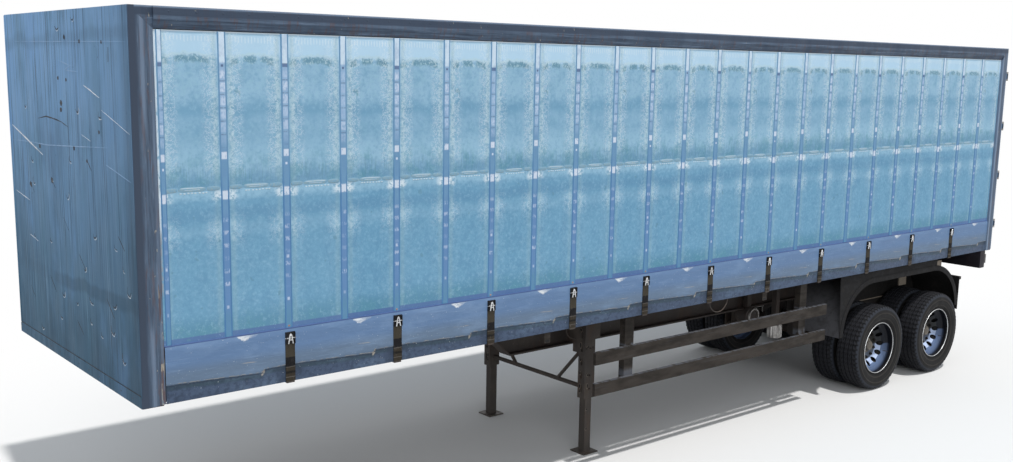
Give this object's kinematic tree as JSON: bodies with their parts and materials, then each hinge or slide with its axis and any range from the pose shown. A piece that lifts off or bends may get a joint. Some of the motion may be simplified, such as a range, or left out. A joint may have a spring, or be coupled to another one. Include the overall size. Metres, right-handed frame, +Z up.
{
  "type": "semi trailer",
  "caption": "Tandem-axle curtain-sided semi trailer parked on its landing legs, with tensioning straps, side guards and rear barn doors",
  "frame": {"origin": "on the ground, under the middle of the bounding box", "axes": "+X forward along the trailer to its coupling end, +Y to its left side, +Z up"},
  "size_m": [10.71, 2.5206, 3.824],
  "materials": {
    "blue_panel": "scratched blue paint",
    "slate_paint": "weathered dark slate paint",
    "bare_alloy": "bare, dull",
    "roof_sheet": "pale coated roof sheet",
    "deck_wood": "worn film-faced planks",
    "dark_steel": "dark chassis paint with road dirt",
    "machined_steel": "worn, greasy",
    "strap_webbing": "olive-brown webbing under steel buckles",
    "guard_alloy": "dull brown-grey paint",
    "leg_steel": "dull dark paint",
    "guard_plastic": "dusty black-brown",
    "flap_rubber": "dusty",
    "lamp_lens": "red lens",
    "curtain_blue": "coated, faded and dusty",
    "tyre_rubber": "worn, dusty",
    "rim_steel": "pressed steel, dusty",
    "hub_iron": "dusty"
  },
  "bodies": {
    "chassis": {"air_tank": "dark_steel", "axle_front": "dark_steel", "axle_rear": "dark_steel", "beam_flanges": "dark_steel", "beam_webs": "dark_steel", "buckle_straps": "strap_webbing", "coupler_plate": "dark_steel", "cross_bearers": "dark_steel", "curtain_left": "curtain_blue", "curtain_right": "curtain_blue", "deck_floor": "deck_wood", "flap_bars": "dark_steel", "front_posts": "slate_paint", "front_wall": "blue_panel", "hinge_pins": "machined_steel", "inner_pillars": "bare_alloy", "landing_crank": "leg_steel", "landing_legs": "leg_steel", "leaf_springs": "dark_steel", "leg_bracing": "leg_steel", "mud_flaps": "flap_rubber", "mudguards": "guard_plastic", "rear_beam": "slate_paint", "rear_frame": "slate_paint", "rear_lamps": "lamp_lens", "roof_bows": "bare_alloy", "roof_panel": "roof_sheet", "side_guards": "guard_alloy", "side_raves": "dark_steel", "suspension_hangers": "dark_steel", "top_rails": "slate_paint"},
    "wheel_front_left": {"tyres_front_left": "tyre_rubber", "rims_front_left": "rim_steel", "hub_front_left": "hub_iron"},
    "wheel_front_right": {"tyres_front_right": "tyre_rubber", "rims_front_right": "rim_steel", "hub_front_right": "hub_iron"},
    "wheel_rear_left": {"tyres_rear_left": "tyre_rubber", "rims_rear_left": "rim_steel", "hub_rear_left": "hub_iron"},
    "wheel_rear_right": {"tyres_rear_right": "tyre_rubber", "rims_rear_right": "rim_steel", "hub_rear_right": "hub_iron"},
    "rear_door_left": {"door_left": "blue_panel", "lock_gear_left": "machined_steel"},
    "rear_door_right": {"door_right": "blue_panel", "lock_gear_right": "machined_steel"}
  },
  "joints": [
    {"name": "wheel_front_left_spin", "type": "hinge", "parent": "chassis", "child": "wheel_front_left", "pos_m": [-2.996, 0.942, 0.4785], "axis": [0, 1, 0], "continuous": true},
    {"name": "wheel_front_right_spin", "type": "hinge", "parent": "chassis", "child": "wheel_front_right", "pos_m": [-2.996, -0.942, 0.4785], "axis": [0, 1, 0], "continuous": true},
    {"name": "wheel_rear_left_spin", "type": "hinge", "parent": "chassis", "child": "wheel_rear_left", "pos_m": [-4.201, 0.942, 0.4785], "axis": [0, 1, 0], "continuous": true},
    {"name": "wheel_rear_right_spin", "type": "hinge", "parent": "chassis", "child": "wheel_rear_right", "pos_m": [-4.201, -0.942, 0.4785], "axis": [0, 1, 0], "continuous": true},
    {"name": "rear_door_left_hinge", "type": "hinge", "parent": "chassis", "child": "rear_door_left", "pos_m": [-5.329, 1.247, 2.6], "axis": [0, 0, -1], "range_deg": [0, 262]},
    {"name": "rear_door_right_hinge", "type": "hinge", "parent": "chassis", "child": "rear_door_right", "pos_m": [-5.329, -1.247, 2.6], "axis": [0, 0, 1], "range_deg": [0, 262]}
  ]
}
